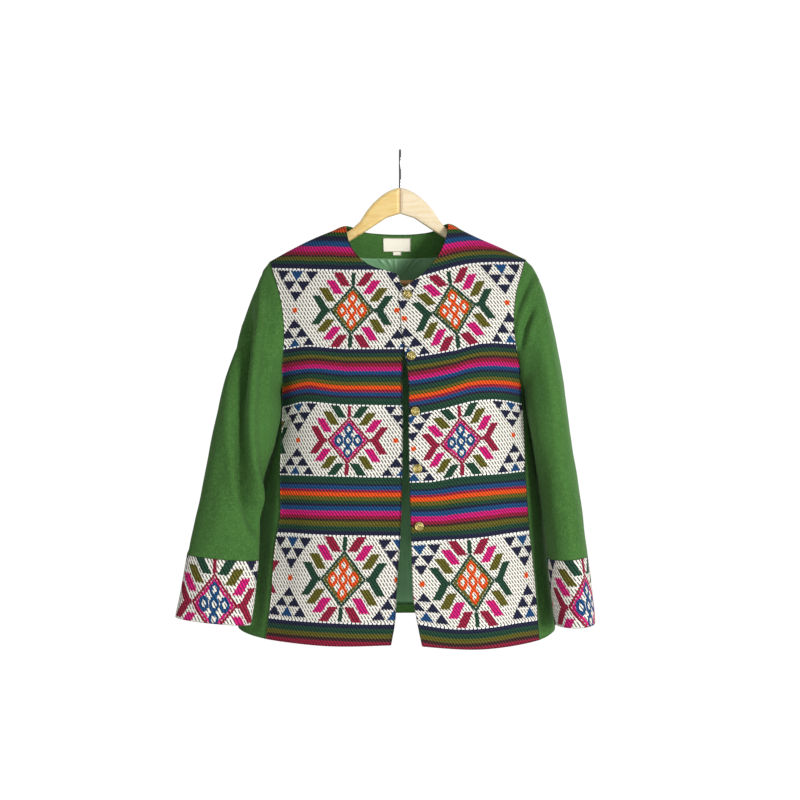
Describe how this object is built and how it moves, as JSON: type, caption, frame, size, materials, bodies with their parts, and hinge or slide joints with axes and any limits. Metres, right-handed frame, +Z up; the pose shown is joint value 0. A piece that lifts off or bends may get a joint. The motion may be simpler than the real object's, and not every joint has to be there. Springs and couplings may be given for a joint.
{
  "type": "wool jacket on a wooden hanger",
  "caption": "Collarless hip-length wool jacket with brocade fronts and cuffs, hanging part open on a wooden hanger with a trouser bar and a wire hook.",
  "frame": {"origin": "inside top of the hook's bend, where the hanger hangs on a rail", "axes": "+Z up, +X towards the wearer's left, the fronts face -Y"},
  "size_m": [0.6662, 0.1714, 0.785],
  "materials": {
    "brocade": "coarse woven brocade with stripes and lozenge medallions",
    "wool": "milled green wool cloth with a short nap",
    "satin": "green satin lining",
    "label": "plain white woven label",
    "brass": "aged brass press stud",
    "wood": "pale lacquered wood",
    "steel": "dark plated wire"
  },
  "bodies": {
    "root": {"front_right": "brocade", "front_left": "brocade", "cuff_right": "brocade", "cuff_left": "brocade", "side_right": "wool", "side_left": "wool", "sleeve_right": "wool", "sleeve_left": "wool", "back": "wool", "neck_facing": "wool", "hem_band": "wool", "lining_back": "satin", "neck_label": "label", "size_tab": "label", "stud_1": "brass", "stud_2": "brass", "stud_3": "brass", "stud_4": "brass", "stud_5": "brass", "hanger_arm_right": "wood", "hanger_arm_left": "wood", "hanger_bar": "wood", "hanger_hook": "steel"}
  },
  "joints": []
}
